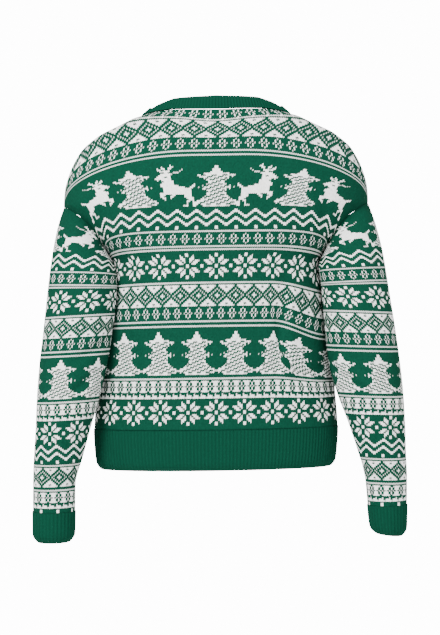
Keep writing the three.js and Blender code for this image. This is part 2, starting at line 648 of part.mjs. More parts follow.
// The neckline all round: from the middle of the back to the right, the front, the left and home
function neckline() {
  const backHalf = halfPanel("back", 1);
  const neckPoint = panelRows("back").indexOf(NECK_POINT_ROW);
  const top = backHalf[backHalf.length - 1];
  const backSide = backHalf.slice(neckPoint, -1).map((line) => line[HALF_COLUMNS]).reverse();
  const frontHalf = halfPanel("front", 1);
  const frontStart = panelRows("front").indexOf(APEX_ROW);
  const frontSide = frontHalf.slice(frontStart, -1).map((line) => line[0]).reverse();
  const right = [...top, ...backSide, ...frontSide];
  const left = right.slice(1, -1).map((p) => new THREE.Vector3(-p.x, p.y, p.z - 2 * LEAN * p.x)).reverse();
  return [...right, ...left, right[0]];
}

const NECKBAND_STEPS = [0, 0.5, 1];

function neckband(name) {
  const seam = neckline();
  const chains = NECKBAND_STEPS.map((step) =>
    seam.map((p) => {
      const inward = new THREE.Vector3(-p.x, NECK_MIDDLE_Y - p.y, 0).normalize();
      const turn = Math.abs(Math.atan2(p.x, NECK_MIDDLE_Y - p.y)) / Math.PI;
      const lean = (read(NECKBAND, "turn", "lean", turn) * Math.PI) / 180;
      const far = NECK_GAP + step * read(NECKBAND, "turn", "reach", turn);
      const up = new THREE.Vector3(0, 0, far * Math.cos(lean));
      return p.clone().addScaledVector(inward, far * Math.sin(lean)).add(up);
    }),
  );
  return ribbed(name, chains, NECKBAND_RIBS, 2, true, true, bodyNormal);
}

const pullover = new THREE.Group();
pullover.add(
  panel("back", "back"),
  panel("front", "front"),
  sleeve("sleeve_left", "left"),
  sleeve("sleeve_right", "right"),
  hemRib("hem_rib_back", "back"),
  hemRib("hem_rib_front", "front"),
  cuff("cuff_left", "left"),
  cuff("cuff_right", "right"),
  neckband("neckband"),
);

export default pullover;
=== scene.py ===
import math

import bpy
import numpy as np
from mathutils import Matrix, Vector

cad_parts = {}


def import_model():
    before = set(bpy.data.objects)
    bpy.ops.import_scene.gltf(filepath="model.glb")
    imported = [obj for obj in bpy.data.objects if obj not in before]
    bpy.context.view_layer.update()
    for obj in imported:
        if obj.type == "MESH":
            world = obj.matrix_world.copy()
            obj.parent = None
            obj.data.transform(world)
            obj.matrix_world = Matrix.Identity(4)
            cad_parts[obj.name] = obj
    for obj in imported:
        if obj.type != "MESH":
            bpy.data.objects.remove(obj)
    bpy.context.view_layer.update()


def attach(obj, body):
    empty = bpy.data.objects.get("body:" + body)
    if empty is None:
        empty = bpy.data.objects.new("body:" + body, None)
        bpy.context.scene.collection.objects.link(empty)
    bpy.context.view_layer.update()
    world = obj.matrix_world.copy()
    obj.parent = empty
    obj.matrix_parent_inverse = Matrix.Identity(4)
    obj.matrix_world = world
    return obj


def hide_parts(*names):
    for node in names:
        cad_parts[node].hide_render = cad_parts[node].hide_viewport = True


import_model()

# A knitted pullover seen from the wearer's back. Sizes are in millimetres and turn to metres in build_mesh.
MM = 0.001
TAU = 2 * math.pi

# Cloth
SEAM_GAP = 0.34
NECK_GAP = 1.5
LINING_DEPTH = 2.3
RIB_RELIEF = 1.2
LEAN = 0.015
SECTION_POWER = 2.2

# Rows and stitches of the body panels
UNDERARM_ROW = 111
APEX_ROW = 178
NECK_POINT_ROW = 205
TOP_ROW = 211
HALF_PANEL = 90
STITCH = 2.8
ROW = 2.45
# How far, in rows, a stitch's sides stand above its middle
STITCH_SLANT = 0.45

UNDERARM = {"x": 170, "z": -237}
APEX = {"x": 247, "z": -147, "back": 4}
ARMHOLE_DEPTH = 54
ARMHOLE_SPRING = {"inward": 8, "upward": 10}
ROW_STEPS = 36
LIFT_SPREAD = 2.2
FOLD_FADE = {"stitches": 6, "rows": 8}
BODY_DEPTH = 120
HEM_HEIGHT = 65
HEM_RIBS = 84
CUFF_RIBS = 34
NECKBAND_RIBS = 148
NECK_HALF_WIDTH = 121
NECK_MIDDLE_Y = 10


def table(names, rows):
    """Columns by name from rows of numbers."""
    return dict(zip(names.split(), np.array(rows, float).T))


SECTIONS = table("z half back front", [
    (-580, 191, 88, 89), (-545, 196, 92, 94), (-508, 198, 95, 97), (-450, 194, 101, 104),
    (-350, 185, 110, 113), (-290, 178, 116, 118), (-237, 170, 119, 119), (-192, 230, 122, 120),
    (-147, 247.7, 123, 118), (-120, 246, 122, 114), (-103, 242, 120, 111), (-86.5, 236, 117.5, 108),
    (-69.5, 227.5, 111, 103), (-55.5, 218.5, 103, 99), (-43, 205, 96, 95), (-31.5, 190, 88, 91),
    (-22.5, 172, 82, 88), (-14, 154, 77, 85), (-5, 136, 72, 82), (-1, 122, 70, 80), (10, 104, 64, 74),
])
ROWS = {
    "back": table("row z lift bend", [
        (0, -507.7, 0, 3), (60, -357.5, 0, 3), (111, -229.9, 0, 4), (120, -208.4, 0, 8),
        (142, -156.8, 1, 8), (160, -114, 1.5, 5.5), (178, -72, 1.5, 4.2), (189, -46.8, 5, 4.8),
        (200, -24, 8, 6), (205, -14, 9, 6.8), (211, 1.5, 2, 6.8),
    ]),
    "front": table("row z lift bend", [
        (0, -507.7, 0, 3), (60, -359, 0, 3), (111, -233, 0, 3), (142, -159, 1, 5),
        (178, -78, 3, 6.2), (189, -54, 6, 6.2), (205, -22, 20, 6.2), (211, -8, 20, 6.2),
    ]),
}
PANEL_EDGE = table("row half seam", [
    (0, 86, 0), (45, 88, 0), (85, 82, 0), (100, 83, 0), (111, 80, 0), (120, 71.5, 0), (136, 73, 0),
    (157, 77.5, 0), (178, 82, 0), (183, 81, 0.07), (187, 79, 0.14), (191, 74.5, 0.25), (195, 66.5, 0.42),
    (200, 53, 0.68), (205, 39.5, 1), (211, 40, 1.1),
])
SHOULDER_SEAM = table("seam z back", [
    (0, -147, 4), (0.2, -108, 18), (0.4, -72, 25), (0.6, -43, 22), (0.8, -22, 15), (1, -1, 6), (1.1, 8, 3),
])
BACK_NECK = table("row x", [(205, NECK_HALF_WIDTH), (207, 112), (209, 98), (211, 75)])
NECKBAND = table("turn reach lean", [
    (0, 23, 16), (0.26, 20, 24), (0.34, 18, 36), (0.46, 16, 56), (0.6, 19, 46), (0.75, 22, 32), (1, 24, 18),
])
SLEEVES = {
    "left": table("along outer_x outer_z inner_x inner_z middle_y depth armhole", [
        (0, 247, -147, 170, -237, 0, 54, 1),
        (20, 252, -167, 162, -244, -18, 54.5, 0.8),
        (40, 256, -187, 159, -250, -34, 55, 0.6),
        (85, 263, -233, 157, -264, -50, 56, 0.2),
        (125, 268, -276, 157, -279, -56, 56, 0),
        (200, 276, -352, 164, -347, -58, 56, 0),
        (250, 282, -403, 173, -399, -58, 54, 0),
        (300, 285.5, -453, 184, -449, -61, 50.5, 0),
        (350, 287.5, -503, 199, -500, -61, 45, 0),
        (400, 291, -553, 213, -551, -57, 39, 0),
        (440, 292.5, -594, 224.5, -593, -53, 34.5, 0),
        (482, 293, -636, 225.5, -636, -49, 34, 0),
        (515, 293, -669, 226.5, -669, -47, 33.5, 0),
        (533, 290, -686, 230, -686, -46, 31, 0),
    ]),
    "right": table("along outer_x outer_z inner_x inner_z middle_y depth armhole", [
        (0, 247, -147, 170, -237, 0, 54, 1),
        (20, 253, -167, 165, -244, -18, 54, 0.8),
        (40, 258, -187, 164, -250, -34, 54, 0.6),
        (85, 268, -233, 166, -264, -49, 55, 0.2),
        (125, 275, -276, 168, -279, -50, 55, 0),
        (200, 287, -352, 174, -347, -52, 56, 0),
        (250, 294, -403, 179, -399, -54, 55, 0),
        (300, 299, -453, 192, -449, -59, 52, 0),
        (350, 302, -503, 211, -500, -59, 45, 0),
        (400, 304, -553, 228, -551, -55, 38.5, 0),
        (440, 306, -594, 239, -593, -51, 34.5, 0),
        (479, 306, -633, 243, -633, -48, 33.5, 0),
        (512, 305.5, -667, 247, -666, -46, 32.5, 0),
        (530, 303, -684, 253, -680, -45, 30, 0),
    ]),
}
CUFF_TOP = {"left": 482, "right": 479}
CUFF_EDGE = {"left": 533, "right": 530}
BODY_CLEARANCE = {"seam": 0.3, "most": 3, "growth": 0.12}

# Sleeve rows: below this ring they run round it; above it each lengthwise line counts its own
LEVEL_RING = 125
LEVEL_RING_ROW = 158
CAP_ROW = 2.05
SLEEVE_TOP_ROW = 236
# How many stitches the sleeves' pattern is turned to the back
SLEEVE_SHIFT = 2
HALF_SLEEVE = 62
SLEEVE_STITCHES = table("row width", [(0, 2.8), (108, 2.85), (150, 3.05), (185, 3.2), (224, 3.2)])
SLEEVE_ANGLES = np.linspace(-math.pi, math.pi, 97)

# Soft folds: where their middle is, their length, width and depth, and how many degrees they lean
BODY_FOLDS = {
    "back": table("x z long wide deep lean", [
        (102, -345, 78, 9, 6.5, 4), (122, -352, 70, 10, -3.5, 4), (158, -418, 34, 8, 6, 66),
        (176, -470, 40, 10, 5, 38), (-162, -455, 44, 13, 6, -52), (-150, -250, 60, 12, 5, -30),
        (165, -215, 75, 8, 6, 8), (-30, -492, 60, 12, 2.5, 78),
    ]),
    "front": table("x z long wide deep lean", [
        (-110, -350, 80, 12, 5, -6), (132, -405, 50, 12, 5, 50), (150, -255, 62, 12, 5, 32),
        (-152, -245, 62, 12, 5, -30),
    ]),
}
SLEEVE_FOLDS = {
    "left": table("along round long wide deep lean", [
        (225, 0.13, 42, 8, 5, 62), (290, 0.2, 40, 9, 4, 50), (420, 0.3, 34, 8, 3.5, -55),
        (250, 0.78, 46, 10, 4.5, 58), (135, 0.8, 46, 11, 4, -40),
    ]),
    "right": table("along round long wide deep lean", [
        (285, 0.16, 44, 8, 5.5, 58), (330, 0.24, 38, 9, 4, 48), (440, 0.16, 36, 8, 4, 55),
        (235, 0.8, 48, 10, 4.5, -56), (140, 0.82, 44, 11, 4, 42),
    ]),
}

# An upright tuck in the back: its row and stitch, its half width, the cloth it swallows, its reach in rows
TUCK = {"row": 52, "stitch": 42, "slope": 0.35, "half": 7, "size": 27, "up": 24, "down": 15}
# The rows at the right of the back sag: how far, from where across, and at what height
SAG = {"size": 22, "from": 90, "over": 85, "z": -340, "high": 80}

# Colours, as linear light
GREEN = (0.0026, 0.040, 0.0225)
WHITE = (0.82, 0.82, 0.80)
LINING_GREEN = (0.004, 0.05, 0.028)
FLOOR_GREY = (0.9, 0.9, 0.9)
BACKDROP_GLOW = 14


def read(columns, key, column, at):
    """A smooth curve through one column of a table, at one place or many."""
    keys, values = columns[key], columns[column]
    at = np.clip(at, keys[0], keys[-1])
    slope = np.diff(values) / np.diff(keys)
    before, after = slope[:-1], slope[1:]
    total = np.where(before + after == 0, 1, before + after)
    inside = np.where(before * after <= 0, 0, 2 * before * after / total)
    tangent = np.concatenate([slope[:1], inside, slope[-1:]])
    i = np.clip(np.searchsorted(keys, at, side="right") - 1, 0, len(keys) - 2)
    width = keys[i + 1] - keys[i]
    rise = values[i + 1] - values[i]
    t = (at - keys[i]) / width
    bend = (tangent[i] * width - rise) * (1 - t) + (rise - tangent[i + 1] * width) * t
    return values[i] + rise * t + t * (1 - t) * bend


def mix(a, b, t):
    return a + (b - a) * t


def smooth(t):
    """A soft step from 0 to 1."""
    t = np.clip(t, 0, 1)
    return t * t * (3 - 2 * t)


def armhole(angle):
    """The armhole's edge: 0 is the underarm, half a turn on is the top of the arm, going by the back."""
    q = (1 - np.cos(angle)) / 2
    spring = np.sin(angle) ** 2
    x = mix(UNDERARM["x"], APEX["x"], q) - ARMHOLE_SPRING["inward"] * spring
    y = -ARMHOLE_DEPTH * np.sin(angle) - APEX["back"] * q
    z = mix(UNDERARM["z"], APEX["z"], q) + ARMHOLE_SPRING["upward"] * spring
    return x, y, z


def armhole_angle(z):
    """The angle at which the armhole reaches a height, going by the back."""
    four = 4 * ARMHOLE_SPRING["upward"]
    total = APEX["z"] - UNDERARM["z"] + four
    root = np.sqrt(np.maximum(0, total * total - 4 * four * (z - UNDERARM["z"])))
    return np.arccos(1 - 2 * np.clip((total - root) / (2 * four), 0, 1))


def section(side, z):
    """Half width and both half depths of the body's level section."""
    back = read(SECTIONS, "z", "back", z)
    front = read(SECTIONS, "z", "front", z)
    half = read(SECTIONS, "z", "half", z)
    x, y, _ = armhole(armhole_angle(z) * (1 if side == "back" else -1))
    share = np.abs(y) / (back if side == "back" else front)
    pulled = x / (1 - share ** SECTION_POWER) ** (1 / SECTION_POWER)
    beside = (z > UNDERARM["z"]) & (z < APEX["z"])
    return np.where(beside, pulled, half), back, front


def on_section(side, z, angle):
    """A point of the level section, at an angle from straight back."""
    half, back, front = section(side, z)
    across = np.abs(np.sin(angle) / half)
    along = np.abs(np.cos(angle) / np.where(np.cos(angle) > 0, back, front))
    size = (across ** SECTION_POWER + along ** SECTION_POWER) ** (-1 / SECTION_POWER)
    return np.stack([size * np.sin(angle), -size * np.cos(angle), z], axis=-1)


def row_end(side, row):
    """The end of a knit row, on the side seam, the armhole or the shoulder seam."""
    if row <= UNDERARM_ROW:
        z = mix(ROWS["back"]["z"][0], UNDERARM["z"], row / UNDERARM_ROW)
        return np.array([section(side, np.float64(z))[0], 0, z])
    if row < APEX_ROW:
        angle = math.pi * (row - UNDERARM_ROW) / (APEX_ROW - UNDERARM_ROW)
        return np.array(armhole(angle if side == "back" else -angle))
    seam = read(PANEL_EDGE, "row", "seam", row)
    z = read(SHOULDER_SEAM, "seam", "z", seam)
    behind = read(SHOULDER_SEAM, "seam", "back", seam)
    half, back, _ = section("back", z)
    return np.array([half * (1 - (behind / back) ** SECTION_POWER) ** (1 / SECTION_POWER), -behind, z])


def row_line(side, row):
    """Points of a knit row from the panel's middle to its end, and their distances along it."""
    end = row_end(side, row)
    turn = math.atan2(end[0], -end[1])
    start = 0 if side == "back" else math.pi
    lift = read(ROWS[side], "row", "lift", row)
    middle = read(ROWS[side], "row", "z", row)
    share = np.linspace(0, 1, ROW_STEPS + 1)
    high = middle + lift * (1 - np.exp(-((LIFT_SPREAD * share) ** 2)))
    z = high - (middle + lift - end[2]) * share ** read(ROWS[side], "row", "bend", row)
    points = on_section(side, z, mix(start, turn, share))
    far = np.concatenate([[0], np.cumsum(np.linalg.norm(np.diff(points, axis=0), axis=1))])
    points[-1] = end
    return points, far


def fold_depth(folds, i, across, up):
    """How deep one soft fold is at distances across and along it."""
    lean = math.radians(folds["lean"][i])
    side = across * math.cos(lean) - up * math.sin(lean)
    length = across * math.sin(lean) + up * math.cos(lean)
    return folds["deep"][i] * np.exp(-((side / folds["wide"][i]) ** 2) - (length / folds["long"][i]) ** 2)


def half_stitches(row):
    return read(PANEL_EDGE, "row", "half", row)


def tucked(stitches, row):
    """How many millimetres of a row the upright tuck at the right of the back swallows before a stitch."""
    reach = TUCK["up"] if row > TUCK["row"] else TUCK["down"]
    size = TUCK["size"] * math.exp(-(((row - TUCK["row"]) / reach) ** 2))
    middle = TUCK["stitch"] - TUCK["slope"] * (row - TUCK["row"])
    entered = smooth((stitches - middle + TUCK["half"]) / (2 * TUCK["half"]))
    left = half_stitches(row) - middle - TUCK["half"]
    given_back = np.clip((stitches - middle - TUCK["half"]) / left, 0, 1)
    return size * entered * (1 - given_back)


def sag(x, z):
    """How far the rows sag at the right of the back."""
    across = smooth((x - SAG["from"]) / SAG["over"])
    return SAG["size"] * across * np.exp(-(((z - SAG["z"]) / SAG["high"]) ** 2))


def body_points(side, stitches, row):
    """Points of a body panel at many stitches of one row."""
    line, far = row_line(side, row)
    at = np.minimum(1, np.abs(stitches) / half_stitches(row)) * far[-1]
    if side == "back":
        at = at - tucked(stitches, row)
    x = np.sign(stitches) * np.interp(at, far, line[:, 0])
    y = np.interp(at, far, line[:, 1])
    z = np.interp(at, far, line[:, 2])
    if side == "back":
        z = z - sag(x, z)
    folds = BODY_FOLDS[side]
    deep = sum(fold_depth(folds, i, x - folds["x"][i], z - folds["z"][i]) for i in range(len(folds["x"])))
    edge = half_stitches(row) - np.abs(stitches)
    fade = np.minimum(1, edge / FOLD_FADE["stitches"]) * min(1, row / FOLD_FADE["rows"])
    return np.stack([x, y * (1 - deep * fade / BODY_DEPTH), z + LEAN * x], axis=-1)


def stitch_at(side, row, x):
    """The stitch at which a row reaches a distance from the middle plane."""
    line, far = row_line(side, row)
    return half_stitches(row) * np.interp(x, line[:, 0], far) / far[-1]


EDGE_STITCHES = SEAM_GAP / 2 / STITCH


def inner_stitch(side, row):
    """The stitch of a row nearest the middle: 0, or on the front neckline."""
    if side == "back" or row <= APEX_ROW:
        return 0.0
    drop = min(1, max(0, NECK_POINT_ROW - row) / (NECK_POINT_ROW - APEX_ROW))
    return stitch_at(side, row, NECK_HALF_WIDTH * math.sqrt(1 - drop * drop)) + EDGE_STITCHES


def outer_stitch(row):
    """The last stitch of a row, short of its seam or on the back neckline."""
    if row > NECK_POINT_ROW:
        return stitch_at("back", row, read(BACK_NECK, "row", "x", row))
    return half_stitches(row) - (2 if row > APEX_ROW else 1) * EDGE_STITCHES


def body_normals(points):
    """Directions square to the body's surface, away from it."""
    x, y = np.abs(points[..., 0]), np.abs(points[..., 1])
    z = points[..., 2] - LEAN * points[..., 0]

    def sizes(at):
        half = read(SECTIONS, "z", "half", at)
        back = read(SECTIONS, "z", "back", at)
        front = read(SECTIONS, "z", "front", at)
        return half, np.where(points[..., 1] < 0, back, front)

    def level(at):
        half, deep = sizes(at)
        return (x / half) ** SECTION_POWER + (y / deep) ** SECTION_POWER

    half, deep = sizes(z)
    out = np.stack([
        np.sign(points[..., 0]) * SECTION_POWER / half * (x / half) ** (SECTION_POWER - 1),
        np.sign(points[..., 1]) * SECTION_POWER / deep * (y / deep) ** (SECTION_POWER - 1),
        level(z + 1) - level(z),
    ], axis=-1)
    return out / np.linalg.norm(out, axis=-1, keepdims=True)


def clear_of_body(x, y, z, along):
    """A sleeve that lies against the body is pressed flat there."""
    clear = np.minimum(BODY_CLEARANCE["most"], BODY_CLEARANCE["seam"] + BODY_CLEARANCE["growth"] * along)
    behind = y < 0
    half = np.where(behind, section("back", z)[0], section("front", z)[0]) + clear
    back = read(SECTIONS, "z", "back", z) + clear
    front = read(SECTIONS, "z", "front", z) + clear
    share = (np.abs(y) / np.where(behind, back, front)) ** SECTION_POWER
    pressed = half * np.maximum(0, 1 - share) ** (1 / SECTION_POWER)
    in_armhole = (z > UNDERARM["z"]) & (np.abs(y) < np.abs(armhole(armhole_angle(z))[1]) + 2)
    return np.where((z <= APEX["z"]) & (share < 1) & ~in_armhole, np.maximum(x, pressed), x)


def sleeve_points(side, along, angle, inset=0.0):
    """Points of a sleeve at distances along it and angles round it, from the underarm by the back."""
    columns = SLEEVES[side]

    def at(name):
        return read(columns, "along", name, along)

    q = (1 - np.cos(angle)) / 2
    spring = np.sin(angle) ** 2 * at("armhole")
    folds = SLEEVE_FOLDS[side]
    deep = 0
    for i in range(len(folds["along"])):
        away = angle / TAU - folds["round"][i]
        across = (away - np.round(away)) * TAU * at("depth")
        deep = deep + fold_depth(folds, i, across, along - folds["along"][i])
    keep = 1 - (deep + inset) / at("depth")
    x = mix(at("inner_x"), at("outer_x"), q) - ARMHOLE_SPRING["inward"] * spring
    y = at("middle_y") - at("depth") * np.sin(angle) - APEX["back"] * q * at("armhole")
    z = mix(at("inner_z"), at("outer_z"), q) + ARMHOLE_SPRING["upward"] * spring
    x = mix((at("outer_x") + at("inner_x")) / 2, x, keep)
    y = mix(at("middle_y"), y, keep)
    z = mix((at("outer_z") + at("inner_z")) / 2, z, keep)
    x = clear_of_body(x, y, z, along) + inset * (np.cos(angle) > 0.5)
    hand = -1 if side == "left" else 1
    return np.stack([hand * x, y, z + LEAN * hand * x], axis=-1)


# Charts. Each says whether stitches u (from the middle, at half numbers) of row r of its band are white.
def rows_of(text):
    """A chart drawn in text marks, as an array with its lowest row first."""
    return np.array([[mark == "X" for mark in line] for line in text.split()])[::-1]


FLOWER = rows_of("""
    ..X...
    .X.X..
    .X.X..
    X.X.X.
    .X.X..
    .X.X..
    ..X...
""")
DEER = rows_of("""
    ..........X.........
    .........XX...X.....
    ..........XX.XX.X...
    .....X.....X.X.XX...
    ......X....XXXXX....
    .......XXX..XX......
    ..........XXXXXX....
    ...........XXXXXX...
    ...........XX.XXXX..
    ...........XXXXXXXX.
    ...........XXXXX.X..
    ..........XXXXX.....
    ..........XXXXXX....
    X.........XXXXXXX...
    XX......XXXXXXXXX...
    .XX..XXXXXXXXXXX....
    ..XXXXXXXXXXXXXX....
    ..XXXXXXXXXXXXXX....
    ..XXXXXXXXXXXXXX....
    ..XXXXXXXXXXXXXXXX..
    ..XXXX....XX...XXX..
    ..XXXX.....XX...XX..
    .XXXX.......X..XX...
    .XXX...........X....
    .X.XX...............
    .X..X...............
    XX..X...............
    XX..XXX.............
""")
# The fir tree by its half widths from the top down, and the rows with green flecks
TREE_HALVES = (1, 1, 2, 2, 3, 6, 9, 8, 6, 5, 4, 4, 5, 7, 9, 7, 5, 4, 5, 5, 6, 7, 8, 10, 11, 10, 7)
FLECK_ROWS = (6, 25)
STAR_PETAL = ((1, 2), (1, 3), (2, 3), (1, 4), (2, 4), (3, 4), (2, 5), (3, 5), (3, 6))


def plain(u, r):
    return np.zeros(u.shape, bool)


def line(u, r):
    return np.ones(u.shape, bool)


def flowers(u, r):
    return FLOWER[r, np.floor(u).astype(int) % 6]


def white_flowers(u, r):
    return ~flowers(u, r)


def teeth(u, r):
    return np.floor(u + 1).astype(int) % 4 < (4, 3, 1)[r]


def diamonds(u, r):
    across = np.abs((np.floor(u) + 5) % 10 - 5)
    away = across + abs(r - 6)
    corner = (across == 5) & (abs(r - 6) == 5)
    return ~((away == 2) | (away == 3) | (away == 5) | (away == 6) | corner)


def dots(u, r):
    return np.abs((u + 5) % 10 - 5) < 1


def zigzag(u, r):
    rise = 5 - np.floor(np.abs((u + 5) % 10 - 5)).astype(int)
    return (r == rise - 1) | (r == rise) | (r == rise + 4) | (r == rise + 5)


def star_petal(x, y):
    found = np.zeros(x.shape, bool)
    for a, b in STAR_PETAL:
        found |= (x == a) & (y == b) | (x == b) & (y == a)
    return found


def stars(u, r):
    x = np.floor(np.abs((u + 8) % 16 - 8)).astype(int)
    y = np.full(x.shape, int(abs(r + 0.5 - 8)))
    middle = (x < 1) & (y < 1)
    between = (x == 7) & (y < 1)
    above = (x < 1) & (y >= 6)
    return star_petal(x, y) | middle | between | above


def tree_at(u, r, middle):
    """One fir tree; r counts up from its foot."""
    down = len(TREE_HALVES) - 1 - r
    if down < 0:
        return plain(u, r)
    out = np.floor(np.abs(u - middle)).astype(int)
    across = np.floor(u - middle).astype(int)
    flecks = (FLECK_ROWS[0] <= down <= FLECK_ROWS[1]) & ((across + 2 * down) % 5 < 2)
    return (out < TREE_HALVES[down]) & ~(flecks & (out < TREE_HALVES[down] - 1))


def trees(u, r):
    return tree_at(u % 22 - 11, r, 0)


def sleeve_trees(u, r):
    return tree_at((u + 11) % 22 - 11, r, 0)


def deer_at(u, r, middle, faces):
    """One leaping deer; faces is 1 when it looks towards higher stitches."""
    if r >= len(DEER):
        return plain(u, r)
    across = np.floor((u - middle) * faces).astype(int) + DEER.shape[1] // 2
    inside = (across >= 0) & (across < DEER.shape[1])
    return inside & DEER[r, np.clip(across, 0, DEER.shape[1] - 1)]


def procession(u, r):
    """Fir trees at the middle and 40 stitches each way, with deer between and beyond them."""
    found = tree_at(u, r, 0) | tree_at(u, r, -40) | tree_at(u, r, 40)
    for middle, faces in ((-20, -1), (20, 1), (-60, 1), (60, -1)):
        found |= deer_at(u, r, middle, faces)
    return found


def sleeve_procession(u, r):
    """The same band on a sleeve, where the deer leap towards the body."""
    found = tree_at(u, r, 0) | tree_at(u, r, -40) | tree_at(u, r, 40)
    for middle in (-60, -20):
        found |= deer_at(u, r, middle, -1)
    for middle in (20, 60):
        found |= deer_at(u, r, middle, 1)
    return found


# The bands of a body panel and of a sleeve, from the ribs upwards, with their rows
BODY_BANDS = (
    (plain, 3), (stars, 16), (plain, 1), (teeth, 3), (plain, 1), (white_flowers, 7), (plain, 1), (line, 1),
    (plain, 2), (trees, 27), (plain, 3), (line, 1), (plain, 2), (line, 1), (plain, 1), (flowers, 7),
    (plain, 1), (diamonds, 13), (plain, 1), (line, 1), (plain, 2), (stars, 16), (plain, 2), (line, 1),
    (plain, 1), (line, 1), (plain, 1), (flowers, 7), (plain, 1), (line, 1), (plain, 1), (dots, 2),
    (zigzag, 11), (plain, 2), (procession, 30), (plain, 4), (line, 1), (plain, 2), (line, 1),
    (plain, 1), (flowers, 7), (plain, 1), (diamonds, 13), (plain, 1), (line, 1), (flowers, 7),
)
SLEEVE_BANDS = (
    (dots, 2), (plain, 1), (teeth, 3), (plain, 1), (white_flowers, 7), (plain, 1), (line, 1), (plain, 2),
    (diamonds, 13), (plain, 1), (line, 1), (plain, 1), (dots, 2), (zigzag, 11), (stars, 16), (plain, 1),
    (teeth, 3), (plain, 1), (white_flowers, 7), (plain, 1), (line, 1), (plain, 2), (sleeve_trees, 27),
    (plain, 2), (line, 1), (plain, 2), (line, 1), (plain, 1), (flowers, 7), (plain, 1), (diamonds, 13), (plain, 1),
    (line, 1), (plain, 2), (stars, 16), (plain, 2), (line, 1), (plain, 1), (line, 1), (plain, 1),
    (flowers, 7), (plain, 1), (line, 1), (plain, 1), (dots, 2), (zigzag, 11), (plain, 2),
    (sleeve_procession, 30), (plain, 21),
)


def pattern(bands, u):
    """White or green for stitches u of every row of a piece."""
    return np.array([chart(u, r) for chart, count in bands for r in range(count)])


noise = np.random.default_rng(17)
# How much the yarn's shade varies, and the share of green over a lone row of white
YARN_SPREAD = 0.07
SUNK = 0.4


def yarn_colours(white):
    """A colour for each half stitch. Green swells over half the white beside it, and a lone white row sinks."""
    shade = 1 + YARN_SPREAD * noise.standard_normal(white.shape)
    covered = white.copy()
    covered[:, 1:] &= white[:, :-1]
    alone = covered.copy()
    alone[1:] &= ~white[:-1]
    alone[:-1] &= ~white[1:]
    base = np.where(covered[..., None], WHITE, GREEN)
    base = np.where(alone[..., None], mix(base, np.array(GREEN), SUNK), base)
    return np.clip(base * shade[..., None], 0, 1)


def build_mesh(name, parts, material):
    """One object from grids; each part is points, kept faces, face colours and stitch coordinates."""
    places, faces, colours, stitches = [], [], [], []
    start = 0
    for points, kept, colour, coordinates in parts:
        count, width = points.shape[:2]
        index = np.arange(count * width).reshape(count, width) + start
        square = np.stack([index[:-1, :-1], index[:-1, 1:], index[1:, 1:], index[1:, :-1]], axis=-1)
        faces.append(square[kept])
        colours.append(colour[kept])
        flat = coordinates.reshape(-1, 2)
        stitches.append(flat[square[kept] - start])
        places.append(points.reshape(-1, 3))
        start += count * width
    places = np.concatenate(places) * MM
    faces = np.concatenate(faces)
    colours = np.concatenate(colours)
    stitches = np.concatenate(stitches)
    mesh = bpy.data.meshes.new(name)
    mesh.vertices.add(len(places))
    mesh.vertices.foreach_set("co", places.ravel())
    mesh.loops.add(faces.size)
    mesh.loops.foreach_set("vertex_index", faces.ravel())
    mesh.polygons.add(len(faces))
    mesh.polygons.foreach_set("loop_start", np.arange(len(faces)) * 4)
    mesh.polygons.foreach_set("use_smooth", np.ones(len(faces), bool))
    mesh.update(calc_edges=True)
    mesh.attributes.new("yarn", "FLOAT_COLOR", "FACE").data.foreach_set(
        "color", np.concatenate([colours, np.ones((len(colours), 1))], axis=1).ravel()
    )
    mesh.uv_layers.new(name="stitches").data.foreach_set("uv", stitches.ravel())
    mesh.materials.append(material)
    mesh.validate()
    obj = bpy.data.objects.new(name, mesh)
    bpy.context.scene.collection.objects.link(obj)
    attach(obj, "root")
    return obj


def inside_out(points):
    """The same grid with its faces turned to the other side."""
    return points[:, ::-1]


def plain_colour(shape, colour):
    return np.broadcast_to(np.array(colour), (*shape, 3))


def panel_grid(side, columns, rows, slant):
    """Points of a body panel, short of its edges; every second column stands a slant higher."""
    grid = np.zeros((len(rows), len(columns), 3))
    even = np.arange(len(columns)) % 2 == 0
    for i, row in enumerate(rows):
        for chosen, at in ((even, min(TOP_ROW, row + slant)), (~even, row)):
            low, high = inner_stitch(side, at), outer_stitch(at)
            out = np.clip(np.abs(columns[chosen]), min(low, high), high)
            hand = np.where(columns[chosen] < 0, -1, 1)
            grid[i, chosen] = body_points(side, hand * out, max(at, SEAM_GAP / 2 / ROW))
    return grid


def panel_kept(side, columns, rows):
    """Which faces of a panel's grid lie inside its edges."""
    middle = (np.abs(columns[:-1] + columns[1:]) / 2)[None, :]
    heights = (rows[:-1] + rows[1:]) / 2
    low = np.array([inner_stitch(side, row) for row in heights])[:, None]
    high = np.array([outer_stitch(row) for row in heights])[:, None]
    reach = (columns[1] - columns[0]) / 2
    return (middle > low - reach * (low > 0)) & (middle < high + reach)


